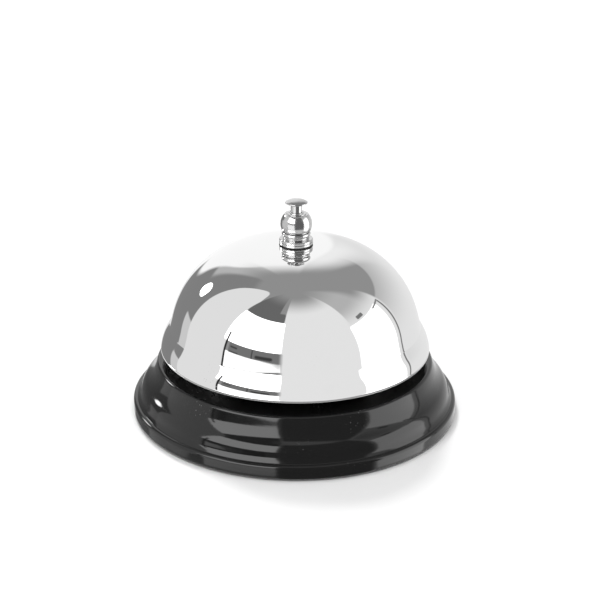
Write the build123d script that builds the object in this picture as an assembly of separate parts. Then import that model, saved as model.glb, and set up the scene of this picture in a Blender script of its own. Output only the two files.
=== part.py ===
from build123d import *
import math
import os

# Desk service bell: a chromed steel bell on an enamelled pressed steel base.
# Pressing the button pushes a rod down through the bell post onto a pivoted
# striker, which swings its hammer out towards the inside of the bell.
# Millimetres, +Z up, origin on the bell's axis at the height of the feet.

# Base, pressed from one steel sheet
BASE_RADIUS = 42.5
BASE_SHEET = 0.8
BASE_RIM_Z = 0.5          # lower edge of the rim, just clear of the table
DECK_Z = 13.8             # flat top that carries the mechanism
DECK_RADIUS = 35.85
DECK_HOLE = 2.02
LEDGE = (41.45, 3.92)     # crease between the rim flange and the wavy wall
WALL_BOTTOM = (40.72, 4.85)
SHOULDER = (39.95, 7.3)
COVE = (37.5, 9.55)
BASE_BENDS = (0.9, 0.4, 3.0, 5.0, 8.0, 1.0)

# Bell
BELL_SHEET = 0.9
BELL_TOP_Z = 44.9         # height that the crown's arc would reach on the axis
CROWN_ARC = 250.0
SHOULDER_ARC = 25.1
WALL_DRAFT = 14.9         # degrees from upright, at the foot of the wall
WALL_FOOT = (32.59, 23.2)
BAND_TOP = (34.78, 19.4)
FOOT_BEND = 1.2
BAND_BEND = 11.0          # the band swells out in a large arc
RIM_RADIUS = 35.1
RIM_Z = 17.0
SEAT_RADIUS = 4.8         # flat seat pressed in the crown

# Post, nuts and washers
POST_RADIUS = 2.5
POST_BORE = 1.5
POST_BOTTOM_Z = 30.5
POST_TOP_Z = 47.5
POST_CLEARANCE = 0.03
NUT_FLATS = 8.0
NUT_HEIGHT = 2.0
WASHER_RADIUS = 4.3
UPPER_WASHER = 0.22
LOWER_WASHER = 0.3

# Finial nut
COLLAR_RADIUS = 4.31
COLLAR_TOP_Z = 46.6
NECK_RADIUS = 3.23
NECK_TOP_Z = 48.9
BALL_RADIUS = 4.05
BALL_Z = 50.4
LIP_RADIUS = 1.9
LIP_BOTTOM_Z = 53.1
LIP_TOP_Z = 53.55
CAVITY_RADIUS = 2.5
CAVITY_TOP_Z = 52.5

# Plunger
ROD_RADIUS = 1.45
BUTTON_RADIUS = 2.84
BUTTON_BOTTOM_Z = 55.45
BUTTON_EDGE_Z = 56.05
BUTTON_TOP_Z = 56.95
STOP_RADIUS = 2.3
STOP_HEIGHT = 0.8
TIP_BOTTOM_Z = 27.9
TIP_RADIUS = 2.1

# Return spring, between the post's top and the stop ring
SPRING_WIRE = 0.32
SPRING_MEAN_RADIUS = 1.93
SPRING_TURNS = 4.0

# Striker bracket
BRACKET_SHEET = 1.2
BRACKET_TOP_Z = 34.2
BRACKET_INSIDE = 10.6     # between the two legs, along Y
BRACKET_X = (-6.0, 9.5)
FOOT_LENGTH = 7.0
FOOT_BEND_RADIUS = 1.9
CORNER_BEND_RADIUS = 0.8
RIVET_SHANK = 1.2
RIVET_HEAD = 2.1
RIVET_X = (-3.2, 6.7)
PIN_HALF = BRACKET_INSIDE / 2 + BRACKET_SHEET + 1.4
LOCK_WASHER = 0.7

# Striker
PIVOT_X = 5.8
PIVOT_Z = 25.6
PIN_RADIUS = 1.0
SLEEVE_RADIUS = 1.8
LEVER_SHEET = 1.6
HAMMER_X = 25.9
HAMMER_Z = 19.0
HAMMER_RADIUS = 2.6
HAMMER_LENGTH = 6.4
NOSE_TOP_Z = TIP_BOTTOM_Z - 0.12
NOSE_RADIUS = 0.8
TAB_TOP_Z = NOSE_TOP_Z - 0.6
TAB_HEIGHT = 2.6

# Underside
PLATE_SHEET = 0.8
PLATE_Z = 1.2             # lower face of the bottom plate
FOOT_CIRCLE = 33.0
FOOT_RADIUS = 4.0

# Heights that follow from the ones above
SEAT_Z = BELL_TOP_Z - (CROWN_ARC - math.sqrt(CROWN_ARC ** 2 - SEAT_RADIUS ** 2))
BELL_UNDERSIDE_Z = SEAT_Z - BELL_SHEET
STOP_TOP_Z = CAVITY_TOP_Z - 0.2


def disc(radius, bottom, top):
    """Plain cylinder on the bell's axis."""
    return Pos(0, 0, bottom) * extrude(Circle(radius), top - bottom)


def ring(outer, inner, bottom, top):
    """Plain tube on the bell's axis."""
    return Pos(0, 0, bottom) * extrude(Circle(outer) - Circle(inner), top - bottom)


def turned(outline):
    """Solid of revolution about the bell's axis from a closed XZ outline."""
    return revolve(make_face(Plane.XZ * outline), Axis.Z)


def pressed(curve, sheet, side):
    """Shell of revolution: a curve in (radius, height), thickened to one side."""
    section = offset(curve, amount=sheet, side=side, closed=True)
    return revolve(Plane.XZ * make_face(section), Axis.Z)


def cross_hole(radius, x, z, length):
    """Cylinder along Y, centred on the XZ plane, at the given x and z."""
    return Pos(x, 0, z) * Rot(90, 0, 0) * Cylinder(radius, length)


# ---- Base ----

def base_pan():
    """Pressed pan: rim flange, ledge, wavy sloping wall and flat deck."""
    corners = [
        (BASE_RADIUS, BASE_RIM_Z),
        (BASE_RADIUS, 3.75),
        LEDGE,
        WALL_BOTTOM,
        SHOULDER,
        COVE,
        (DECK_RADIUS, DECK_Z),
        (9.0, DECK_Z),
    ]
    curve = FilletPolyline(*corners, radius=list(BASE_BENDS))
    deck = ring(9.2, DECK_HOLE, DECK_Z - BASE_SHEET, DECK_Z)
    pan = pressed(curve, BASE_SHEET, Side.LEFT) + deck
    for x, y in rivet_places():
        pan -= Pos(x, y, DECK_Z) * Cylinder(RIVET_SHANK, 4)
    return pan


def bottom_plate():
    """Dished closing plate pushed into the pan, with holes for feet and screw."""
    inside = BASE_RADIUS - BASE_SHEET - 0.05
    curve = FilletPolyline((2.2, PLATE_Z), (inside, PLATE_Z), (inside, PLATE_Z + 1.5), radius=1.0)
    plate = pressed(curve, PLATE_SHEET, Side.LEFT)
    for place in PolarLocations(FOOT_CIRCLE, 4, start_angle=45):
        plate -= place * Pos(0, 0, PLATE_Z) * Cylinder(1.8, 4)
    return plate


def rubber_foot():
    """Push-in foot: pad, neck through the plate and a barbed head above it."""
    top = PLATE_Z + PLATE_SHEET
    with BuildLine() as line:
        Polyline(
            (0, 0), (FOOT_RADIUS - 0.5, 0), (FOOT_RADIUS, 0.5), (FOOT_RADIUS, PLATE_Z),
            (1.78, PLATE_Z), (1.78, top), (2.5, top), (1.2, top + 1.6), (0, top + 1.6),
            close=True,
        )
    return turned(line.line)


def rubber_feet():
    """Four feet, between the X and Y axes."""
    places = PolarLocations(FOOT_CIRCLE, 4, start_angle=45)
    return Compound(children=[place * rubber_foot() for place in places])


def base_standoff():
    """Hexagonal pillar under the deck, staked through it, tapped at the bottom."""
    bottom = PLATE_Z + PLATE_SHEET
    top = DECK_Z - BASE_SHEET
    pillar = Pos(0, 0, bottom) * extrude(RegularPolygon(3.5, 6, major_radius=False), top - bottom)
    stake = disc(2.0, top, DECK_Z)
    head = disc(2.8, DECK_Z, DECK_Z + 0.6)
    tapped = disc(1.52, bottom, bottom + 7.0)
    return pillar + stake + head - tapped


def bottom_screw():
    """Low-head screw with a cross-shaped drive recess."""
    head = disc(3.2, PLATE_Z - 0.75, PLATE_Z)
    shank = disc(1.5, PLATE_Z, PLATE_Z + 6.0)
    slot = Box(3.4, 0.7, 0.8) + Box(0.7, 3.4, 0.8)
    return head + shank - Pos(0, 0, PLATE_Z - 0.75) * slot


# ---- Striker bracket ----

def rivet_places():
    """Centres of the four rivets, two in each bracket foot."""
    y = BRACKET_INSIDE / 2 + BRACKET_SHEET + FOOT_LENGTH * 0.55
    return [(x, side * y) for x in RIVET_X for side in (-1, 1)]


def striker_bracket():
    """Bridge of bent strip: two feet on the deck, two legs and a top plate."""
    outside = BRACKET_INSIDE / 2 + BRACKET_SHEET
    toe = outside + FOOT_LENGTH
    path = FilletPolyline(
        (-toe, DECK_Z), (-outside + BRACKET_SHEET, DECK_Z),
        (-outside + BRACKET_SHEET, BRACKET_TOP_Z - BRACKET_SHEET),
        (outside - BRACKET_SHEET, BRACKET_TOP_Z - BRACKET_SHEET),
        (outside - BRACKET_SHEET, DECK_Z), (toe, DECK_Z),
        radius=[FOOT_BEND_RADIUS, CORNER_BEND_RADIUS, CORNER_BEND_RADIUS, FOOT_BEND_RADIUS],
    )
    section = make_face(offset(path, amount=BRACKET_SHEET, side=Side.LEFT, closed=True))
    strip = Pos(BRACKET_X[0], 0, 0) * extrude(Plane.YZ * section, BRACKET_X[1] - BRACKET_X[0])
    strip -= Pos(0, 0, BRACKET_TOP_Z) * Cylinder(POST_RADIUS + POST_CLEARANCE, 6)
    strip -= cross_hole(PIN_RADIUS, PIVOT_X, PIVOT_Z, 40)
    window = Pos(-1.2, 0, 21.5) * Box(4.0, 40, 6.0)
    strip -= fillet(window.edges().filter_by(Axis.Y), 1.2)
    for x, y in rivet_places():
        strip -= Pos(x, y, DECK_Z) * Cylinder(RIVET_SHANK, 8)
    return strip


def bracket_rivet():
    """Round-headed rivet through a bracket foot and the deck."""
    grip_bottom = DECK_Z - BASE_SHEET
    grip_top = DECK_Z + BRACKET_SHEET
    shank = disc(RIVET_SHANK, grip_bottom, grip_top)
    sphere_radius = 2.6
    sink = math.sqrt(sphere_radius ** 2 - RIVET_HEAD ** 2)
    cap = Pos(0, 0, grip_top - sink) * Sphere(sphere_radius)
    cap &= Pos(0, 0, grip_top + 2) * Box(8, 8, 4)
    tail = disc(1.9, grip_bottom - 0.7, grip_bottom)
    return shank + cap + tail


def bracket_rivets():
    """All four bracket rivets."""
    return Compound(children=[Pos(x, y, 0) * bracket_rivet() for x, y in rivet_places()])


def pivot_pin():
    """Striker pin across the bracket, grooved at both ends for its clips."""
    pin = cross_hole(PIN_RADIUS, PIVOT_X, PIVOT_Z, 2 * PIN_HALF)
    pin = chamfer(pin.edges(), 0.2)
    for side in (-1, 1):
        groove = cross_hole(1.6, 0, 0, 0.45) - cross_hole(0.75, 0, 0, 1.0)
        pin -= Pos(PIVOT_X, side * (PIN_HALF - 0.9), PIVOT_Z) * groove
    return pin


def pivot_clips():
    """Two open spring clips in the pin's grooves."""
    clips = []
    for side in (-1, 1):
        clip = cross_hole(2.0, 0, 0, 0.4) - cross_hole(0.78, 0, 0, 1.0)
        clip -= Pos(0, 0, -1.4) * Box(1.3, 1.0, 2.4)
        clips.append(Pos(PIVOT_X, side * (PIN_HALF - 0.9), PIVOT_Z) * clip)
    return Compound(children=clips)


# ---- Post and its fixings ----

def bell_post():
    """Threaded tube that carries the bell and guides the plunger rod."""
    post = ring(POST_RADIUS, POST_BORE, POST_BOTTOM_Z, POST_TOP_Z)
    ends = post.edges().filter_by(GeomType.CIRCLE).group_by(SortBy.RADIUS)[-1]
    return chamfer(ends, 0.25)


def hex_nut(bottom):
    """Chamfered hexagon nut on the post."""
    across_corners = NUT_FLATS / math.cos(math.pi / 6)
    nut = extrude(RegularPolygon(NUT_FLATS / 2, 6, major_radius=False), NUT_HEIGHT)
    cone = Pos(0, 0, NUT_HEIGHT / 2) * Cylinder(across_corners / 2 + 0.02, NUT_HEIGHT)
    cone = chamfer(cone.edges().filter_by(GeomType.CIRCLE), 0.35)
    nut &= cone
    nut -= Cylinder(POST_RADIUS + POST_CLEARANCE, 3 * NUT_HEIGHT)
    return Pos(0, 0, bottom) * nut


def hex_nuts():
    """Below the bracket, above it, and under the bell."""
    bottoms = [
        BRACKET_TOP_Z - BRACKET_SHEET - NUT_HEIGHT,
        BRACKET_TOP_Z + LOCK_WASHER,
        BELL_UNDERSIDE_Z - LOWER_WASHER - NUT_HEIGHT,
    ]
    return Compound(children=[hex_nut(bottom) for bottom in bottoms])


def lock_washer():
    """Split washer under the upper bracket nut."""
    washer = ring(4.0, POST_RADIUS + 0.1, BRACKET_TOP_Z, BRACKET_TOP_Z + LOCK_WASHER)
    return washer - Pos(3.3, 0, BRACKET_TOP_Z) * Rot(30, 0, 0) * Box(3, 0.7, 4)


def lower_washer():
    """Fibre washer under the bell."""
    inner = POST_RADIUS + 0.1
    return ring(WASHER_RADIUS, inner, BELL_UNDERSIDE_Z - LOWER_WASHER, BELL_UNDERSIDE_Z)


def upper_washer():
    """Thin washer between the bell and the finial."""
    return ring(WASHER_RADIUS, POST_RADIUS + 0.1, SEAT_Z, SEAT_Z + UPPER_WASHER)


# ---- Bell ----

def bell_curve():
    """Outer outline from the post hole to the rim, as (radius, height).

    Crown and shoulder are tangent arcs. The shoulder's centre lies on a line
    beside the wall, at the distance from the crown's centre that makes them touch.
    """
    draft = math.radians(WALL_DRAFT)
    out = Vector(math.cos(draft), math.sin(draft))
    up = Vector(-math.sin(draft), math.cos(draft))
    foot = Vector(*WALL_FOOT)
    crown_centre = Vector(0, BELL_TOP_Z - CROWN_ARC)
    reach = CROWN_ARC - SHOULDER_ARC
    start = foot - out * SHOULDER_ARC - crown_centre
    along = start.dot(up)
    rise = -along + math.sqrt(along ** 2 - start.length ** 2 + reach ** 2)
    shoulder_centre = crown_centre + start + up * rise
    crown_end = crown_centre + (shoulder_centre - crown_centre).normalized() * CROWN_ARC
    wall_top = shoulder_centre + out * SHOULDER_ARC
    halfway = math.radians((WALL_DRAFT + (crown_end - shoulder_centre).get_angle(Vector(1, 0))) / 2)
    shoulder_mid = shoulder_centre + Vector(math.cos(halfway), math.sin(halfway)) * SHOULDER_ARC
    seat_end = Vector(SEAT_RADIUS, SEAT_Z)
    crown_half = (seat_end.X + crown_end.X) / 2
    crown_mid = Vector(crown_half, crown_centre.Y + math.sqrt(CROWN_ARC ** 2 - crown_half ** 2))
    with BuildLine() as line:
        Line((POST_RADIUS + 0.1, SEAT_Z), seat_end)
        ThreePointArc(seat_end, crown_mid, crown_end)
        ThreePointArc(crown_end, shoulder_mid, wall_top)
        FilletPolyline(
            wall_top, foot, BAND_TOP, (RIM_RADIUS, RIM_Z),
            radius=[FOOT_BEND, BAND_BEND],
        )
    return line.line


def bell_dome():
    """Pressed bell of even sheet with a softly rounded rim."""
    bell = pressed(bell_curve(), BELL_SHEET, Side.RIGHT)
    rim = bell.edges().filter_by(GeomType.CIRCLE).group_by(Axis.Z)[0]
    return fillet(rim, 0.25)


# ---- Finial nut ----

def finial_nut():
    """Turned nut: grooved collar, neck, ball and lip, bored for the plunger."""
    bottom = SEAT_Z + UPPER_WASHER
    groove_z = (bottom + COLLAR_TOP_Z) / 2
    collar = disc(COLLAR_RADIUS, bottom, COLLAR_TOP_Z)
    collar = chamfer(collar.edges(), 0.18)
    collar -= Pos(0, 0, groove_z) * (Cylinder(6, 0.16) - Cylinder(COLLAR_RADIUS - 0.12, 1))
    neck = disc(NECK_RADIUS, COLLAR_TOP_Z, NECK_TOP_Z)
    bead = Pos(0, 0, (COLLAR_TOP_Z + NECK_TOP_Z) / 2 + 0.15) * Torus(NECK_RADIUS - 0.1, 0.55)
    ball = Pos(0, 0, BALL_Z) * Sphere(BALL_RADIUS)
    ball &= Pos(0, 0, (NECK_TOP_Z + LIP_BOTTOM_Z) / 2) * Cylinder(6, LIP_BOTTOM_Z - NECK_TOP_Z)
    shoulder = disc(2.5, LIP_BOTTOM_Z, LIP_BOTTOM_Z + 0.22)
    lip = disc(LIP_RADIUS, LIP_BOTTOM_Z, LIP_TOP_Z)
    lip = chamfer(lip.edges().group_by(Axis.Z)[-1], 0.12)
    body = collar + neck + bead + ball + shoulder + lip
    thread = disc(POST_RADIUS + POST_CLEARANCE, bottom, POST_TOP_Z)
    cavity = disc(CAVITY_RADIUS, POST_TOP_Z, CAVITY_TOP_Z)
    guide = disc(POST_BORE, CAVITY_TOP_Z, LIP_TOP_Z)
    return body - thread - cavity - guide


# ---- Plunger ----

def plunger_rod():
    """Straight rod from inside the tip to the button, with a groove for the stop ring."""
    bottom = TIP_BOTTOM_Z + 0.8
    rod = disc(ROD_RADIUS, bottom, BUTTON_BOTTOM_Z + 0.1)
    return rod - stop_groove()


def stop_groove():
    """Groove round the rod for the stop ring."""
    return ring(3.0, ROD_RADIUS - 0.3, STOP_TOP_Z - STOP_HEIGHT, STOP_TOP_Z)


def press_button():
    """Mushroom button: tapered underside, thin edge and a shallow domed top."""
    edge_top = BUTTON_EDGE_Z + 0.12
    rise = BUTTON_TOP_Z - edge_top
    top_arc = (BUTTON_RADIUS ** 2 + rise ** 2) / (2 * rise)
    middle = BUTTON_RADIUS / 2
    middle_z = BUTTON_TOP_Z - top_arc + math.sqrt(top_arc ** 2 - middle ** 2)
    with BuildLine() as line:
        Polyline(
            (0, BUTTON_TOP_Z), (0, BUTTON_BOTTOM_Z + 0.1), (ROD_RADIUS, BUTTON_BOTTOM_Z + 0.1),
            (ROD_RADIUS, BUTTON_BOTTOM_Z), (1.85, BUTTON_BOTTOM_Z),
            (BUTTON_RADIUS, BUTTON_EDGE_Z - 0.12), (BUTTON_RADIUS, edge_top),
        )
        ThreePointArc((BUTTON_RADIUS, edge_top), (middle, middle_z), (0, BUTTON_TOP_Z))
    return turned(line.line)


def stop_ring():
    """Spring-steel ring snapped in the rod's groove; it meets the finial's ceiling."""
    bottom = STOP_TOP_Z - STOP_HEIGHT + 0.02
    ring_body = ring(STOP_RADIUS, ROD_RADIUS - 0.28, bottom, STOP_TOP_Z - 0.02)
    return ring_body - Pos(-2.0, 0, STOP_TOP_Z) * Box(2.4, 0.9, 4)


def plunger_tip():
    """Nylon cap on the rod's lower end, rounded where it meets the striker."""
    cap = disc(TIP_RADIUS, TIP_BOTTOM_Z, TIP_BOTTOM_Z + 2.2)
    cap = fillet(cap.edges().group_by(Axis.Z)[0], 0.5)
    return cap - disc(ROD_RADIUS, TIP_BOTTOM_Z + 0.8, TIP_BOTTOM_Z + 3)


def return_spring():
    """Compression coil, its ends resting on the post's top and under the stop ring."""
    bottom = POST_TOP_Z + SPRING_WIRE / 2 + 0.05
    top = STOP_TOP_Z - STOP_HEIGHT - SPRING_WIRE / 2 - 0.05
    height = top - bottom
    path = Helix(height / SPRING_TURNS, height, SPRING_MEAN_RADIUS)
    wire_end = Plane(origin=path @ 0, z_dir=path % 0)
    return Pos(0, 0, bottom) * sweep(wire_end * Circle(SPRING_WIRE / 2), path=path)


# ---- Striker ----

def striker_lever():
    """Flat bell-crank in the XZ plane: tab with a rounded nose, hub and hammer arm."""
    hub = Circle(3.0)
    tab_middle = TAB_TOP_Z - PIVOT_Z - TAB_HEIGHT / 2
    tab = Pos(-PIVOT_X / 2 - 0.6, tab_middle) * Rectangle(PIVOT_X + 1.2, TAB_HEIGHT)
    tab = fillet(tab.vertices(), 0.4)
    tab += Pos(-PIVOT_X, NOSE_TOP_Z - PIVOT_Z - NOSE_RADIUS) * Circle(NOSE_RADIUS)
    arm_x = HAMMER_X - PIVOT_X
    arm_z = HAMMER_Z - PIVOT_Z
    length = math.hypot(arm_x, arm_z)
    turn = math.degrees(math.atan2(arm_z, arm_x))
    arm = Pos(length / 2, 0) * Trapezoid(3.2, length, 88.6, rotation=-90)
    arm = Rot(0, 0, turn) * arm
    tail = Pos(arm_x, arm_z) * Circle(1.35)
    plate = hub + tab + arm + tail
    plate -= Circle(SLEEVE_RADIUS)
    plate -= Pos(arm_x, arm_z) * Circle(0.6)
    body = extrude(plate, LEVER_SHEET / 2, both=True)
    return Pos(PIVOT_X, 0, PIVOT_Z) * Rot(90, 0, 0) * body


def striker_sleeve():
    """Bush fixed in the lever, turning on the pin."""
    length = BRACKET_INSIDE - 0.4
    bush = cross_hole(SLEEVE_RADIUS, PIVOT_X, PIVOT_Z, length)
    return bush - cross_hole(PIN_RADIUS + 0.05, PIVOT_X, PIVOT_Z, 20)


def striker_hammer():
    """Round slug with a domed nose, slotted at the back for the lever's arm."""
    slug = Rot(0, 90, 0) * Cylinder(HAMMER_RADIUS, HAMMER_LENGTH)
    nose = slug.edges().group_by(Axis.X)[-1]
    slug = fillet(nose, 1.9)
    slug = chamfer(slug.edges().filter_by(GeomType.CIRCLE).group_by(Axis.X)[0], 0.3)
    slot = Pos(-1.0, 0, 0) * Box(HAMMER_LENGTH - 1.0, LEVER_SHEET + 0.04, 8)
    slug -= slot
    slug -= cross_hole(0.6, 0, 0, 8)
    return Pos(HAMMER_X, 0, HAMMER_Z) * slug


def hammer_rivet():
    """Plain rivet across the hammer, holding it on the arm."""
    return cross_hole(0.6, HAMMER_X, HAMMER_Z, 2 * HAMMER_RADIUS + 0.5)


PARTS = {
    "base_pan": base_pan,
    "bottom_plate": bottom_plate,
    "rubber_feet": rubber_feet,
    "base_standoff": base_standoff,
    "bottom_screw": bottom_screw,
    "striker_bracket": striker_bracket,
    "bracket_rivets": bracket_rivets,
    "pivot_pin": pivot_pin,
    "pivot_clips": pivot_clips,
    "bell_post": bell_post,
    "hex_nuts": hex_nuts,
    "lock_washer": lock_washer,
    "lower_washer": lower_washer,
    "upper_washer": upper_washer,
    "bell_dome": bell_dome,
    "finial_nut": finial_nut,
    "plunger_rod": plunger_rod,
    "press_button": press_button,
    "stop_ring": stop_ring,
    "plunger_tip": plunger_tip,
    "return_spring": return_spring,
    "striker_lever": striker_lever,
    "striker_sleeve": striker_sleeve,
    "striker_hammer": striker_hammer,
    "hammer_rivet": hammer_rivet,
}

os.makedirs("parts", exist_ok=True)
for name, build in PARTS.items():
    export_step(build(), f"parts/{name}.step")
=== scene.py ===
import math

import bpy
import numpy as np
from bpy.props import FloatProperty, FloatVectorProperty, IntProperty, PointerProperty
from mathutils import Matrix, Vector


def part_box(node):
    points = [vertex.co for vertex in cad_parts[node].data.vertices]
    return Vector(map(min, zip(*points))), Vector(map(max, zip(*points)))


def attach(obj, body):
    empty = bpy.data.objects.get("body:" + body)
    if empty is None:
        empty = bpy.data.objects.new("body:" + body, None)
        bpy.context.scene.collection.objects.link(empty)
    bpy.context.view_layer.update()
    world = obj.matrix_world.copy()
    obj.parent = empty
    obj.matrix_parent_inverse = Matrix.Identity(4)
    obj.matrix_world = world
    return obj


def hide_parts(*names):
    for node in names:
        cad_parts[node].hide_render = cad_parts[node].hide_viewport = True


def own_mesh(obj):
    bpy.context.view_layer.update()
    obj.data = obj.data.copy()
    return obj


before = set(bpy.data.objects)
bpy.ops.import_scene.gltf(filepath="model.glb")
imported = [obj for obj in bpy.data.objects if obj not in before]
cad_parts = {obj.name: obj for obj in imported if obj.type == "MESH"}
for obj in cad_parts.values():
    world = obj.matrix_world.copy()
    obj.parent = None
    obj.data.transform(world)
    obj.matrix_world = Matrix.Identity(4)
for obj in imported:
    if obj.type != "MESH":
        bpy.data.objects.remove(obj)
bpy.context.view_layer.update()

# Desk service bell: chromed pressed bell, turned finial and button, and a gloss black pressed
# base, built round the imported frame. Sizes and outlines are in millimetres, as (radius, height)
# about the bell's axis, and become metres when a mesh is made.

bl_info = {
    "name": "Desk service bell",
    "version": (1, 0, 0),
    "blender": (4, 5, 0),
    "location": "View3D > Sidebar > Service bell",
    "description": "Builds a chromed counter bell and its studio round the packed frame",
    "category": "Add Mesh",
}

MM = 0.001
LIP_POINTS = 6            # outline points round the free edge of a pressed sheet


def top_of(node):
    """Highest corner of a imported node, in millimetres."""
    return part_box(node)[1] / MM


def bottom_of(node):
    """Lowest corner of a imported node, in millimetres."""
    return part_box(node)[0] / MM


# ---- Sizes and colours that a user may change ----

class BellProperties(bpy.types.PropertyGroup):
    """Sizes of the pressed bell and its finish."""

    sheet: FloatProperty(
        name="Sheet", description="Thickness of the bell's sheet, in millimetres",
        default=0.9, min=0.4, max=1.2)
    rim_radius: FloatProperty(
        name="Rim radius", description="Outside radius of the rim, in millimetres",
        default=35.1)
    rim_height: FloatProperty(
        name="Rim height", description="Height of the rim's lower edge, in millimetres",
        default=17.0)
    crown_height: FloatProperty(
        name="Crown height",
        description="Height that the crown's arc reaches on the axis, in millimetres",
        default=44.9)
    chrome: FloatVectorProperty(
        name="Chrome", description="Colour of the polished plating", subtype="COLOR",
        default=(0.86, 0.86, 0.86), min=0.0, max=1.0)
    segments: IntProperty(
        name="Segments", description="Steps round the axis", default=320, min=64, max=384)


class BaseProperties(bpy.types.PropertyGroup):
    """Sizes of the pressed base and its finish."""

    sheet: FloatProperty(
        name="Sheet", description="Thickness of the base's sheet, in millimetres",
        default=0.8, min=0.4, max=1.2)
    foot_radius: FloatProperty(
        name="Foot radius", description="Outside radius of the rim flange, in millimetres",
        default=top_of("base_pan").x)
    deck_height: FloatProperty(
        name="Deck height", description="Height of the flat top, in millimetres",
        default=top_of("base_pan").z)
    enamel: FloatVectorProperty(
        name="Enamel", description="Colour of the gloss enamel", subtype="COLOR",
        default=(0.006, 0.006, 0.006), min=0.0, max=1.0)
    segments: IntProperty(
        name="Segments", description="Steps round the axis", default=256, min=64, max=384)


class FinialProperties(bpy.types.PropertyGroup):
    """Sizes of the turned parts above the bell."""

    ball_radius: FloatProperty(
        name="Ball radius", description="Radius of the finial's ball, in millimetres",
        default=4.05)
    button_radius: FloatProperty(
        name="Button radius", description="Radius of the push button, in millimetres",
        default=top_of("press_button").x)
    corner: FloatProperty(
        name="Corner", description="Rounding of the turned edges, in millimetres",
        default=0.07, min=0.0, max=0.3)
    segments: IntProperty(
        name="Segments", description="Steps round the axis", default=128, min=32, max=256)


class StageProperties(bpy.types.PropertyGroup):
    """Floor, light and camera."""

    floor: FloatVectorProperty(
        name="Floor", description="Colour of the floor", subtype="COLOR",
        default=(0.86, 0.86, 0.86), min=0.0, max=1.0)
    overhead: FloatProperty(
        name="Overhead light", description="Strength of the broad soft light above",
        default=1.5, min=0.0)
    rear: FloatProperty(
        name="Rear light", description="Strength of the lamp behind, which throws the shadow forward",
        default=1.3, min=0.0)
    fill: FloatProperty(
        name="Fill", description="Even brightness that the room gives to matt surfaces",
        default=0.43, min=0.0)
    room: FloatProperty(
        name="Room light", description="Brightness of the studio's panels", default=1.0, min=0.0)
    lens: FloatProperty(
        name="Lens", description="Focal length of the camera, in millimetres", default=85.0,
        unit="CAMERA")
    pitch: FloatProperty(
        name="Pitch", description="How far the camera looks down", subtype="ANGLE",
        default=0.3899)


# ---- Outlines ----

def arc(centre, radius, start, end, steps):
    """Points centre + radius * (cos a, sin a), with a going evenly from start to end in degrees."""
    angle = np.radians(np.linspace(start, end, steps))
    return np.asarray(centre) + radius * np.column_stack([np.cos(angle), np.sin(angle)])


def rounded_line(corners, radii, turn=3.0):
    """Line through corners, with each inner corner cut by the arc tangent to both its sides.

    With u and v the unit directions from a corner to its neighbours and h half the angle
    between them, the arc's centre is at radius / sin h along u + v, and it touches the sides at
    radius / tan h from the corner. The arc has a point for every turn degrees.
    """
    corners = np.asarray(corners, float)
    pieces = [corners[:1]]
    for before, corner, after, radius in zip(corners, corners[1:], corners[2:], radii):
        u = (before - corner) / np.linalg.norm(before - corner)
        v = (after - corner) / np.linalg.norm(after - corner)
        half = math.acos(float(np.clip(u @ v, -1, 1))) / 2
        middle = (u + v) / np.linalg.norm(u + v)
        centre = corner + middle * radius / math.sin(half)
        first = corner + u * radius / math.tan(half) - centre
        last = corner + v * radius / math.tan(half) - centre
        start = math.degrees(math.atan2(first[1], first[0]))
        sweep = (math.degrees(math.atan2(last[1], last[0])) - start + 180) % 360 - 180
        pieces.append(arc(centre, radius, start, start + sweep, max(3, int(abs(sweep) / turn) + 2)))
    pieces.append(corners[-1:])
    return np.vstack(pieces)


def beside(line, distance):
    """The line moved by distance to the right of its own direction, point by point."""
    along = np.gradient(line, axis=0)
    along /= np.linalg.norm(along, axis=1)[:, None]
    return line + distance * np.column_stack([along[:, 1], -along[:, 0]])


def denser(line, spacing):
    """The same line with points added, so that no step is longer than spacing."""
    steps = np.linalg.norm(np.diff(line, axis=0), axis=1)
    keep = np.r_[True, steps > 1e-7]
    line = line[keep]
    travelled = np.r_[0, np.cumsum(steps[steps > 1e-7])]
    extra = np.concatenate([
        np.linspace(a, b, int((b - a) / spacing) + 2)[:-1]
        for a, b in zip(travelled, travelled[1:])
    ] + [travelled[-1:]])
    return np.column_stack([np.interp(extra, travelled, line[:, k]) for k in (0, 1)])


def pressed_section(line, sheet, edge):
    """Closed outline of a sheet: the line, its copy beside it, and rounded free edges at the end."""
    other = beside(line, sheet)
    lip = rounded_line([line[-2], line[-1], other[-1], other[-2]], [edge, edge], turn=12)
    return np.vstack([line[:-1], lip[1:-1], other[-2::-1]]), len(line)


def softened(outline, spacing, corner, closed):
    """Outline taken at even spacing and averaged along itself over a corner's width.

    Each point becomes the bell-weighted mean of its neighbours, which rounds every edge by
    about the corner's size and leaves straight runs and large arcs as they are.
    """
    loop = np.vstack([outline, outline[:1]]) if closed else outline
    travelled = np.r_[0, np.cumsum(np.linalg.norm(np.diff(loop, axis=0), axis=1))]
    count = int(travelled[-1] / spacing)
    even = np.linspace(0, travelled[-1], count, endpoint=not closed)
    line = np.column_stack([np.interp(even, travelled, loop[:, k]) for k in (0, 1)])
    reach = max(1, int(2 * corner / spacing))
    weight = np.exp(-0.5 * (np.arange(-reach, reach + 1) * spacing / max(corner * 0.7, 1e-6)) ** 2)
    weight /= weight.sum()
    mirrored = line * (-1, 1)
    if closed:
        padded = np.vstack([line[-reach:], line, line[:reach]])
    else:
        padded = np.vstack([mirrored[reach:0:-1], line, mirrored[-2:-reach - 2:-1]])
    smooth = np.column_stack([np.convolve(padded[:, k], weight, "valid") for k in (0, 1)])
    if not closed:
        smooth[[0, -1], 0] = 0.0
    return smooth


# ---- Surfaces ----

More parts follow.
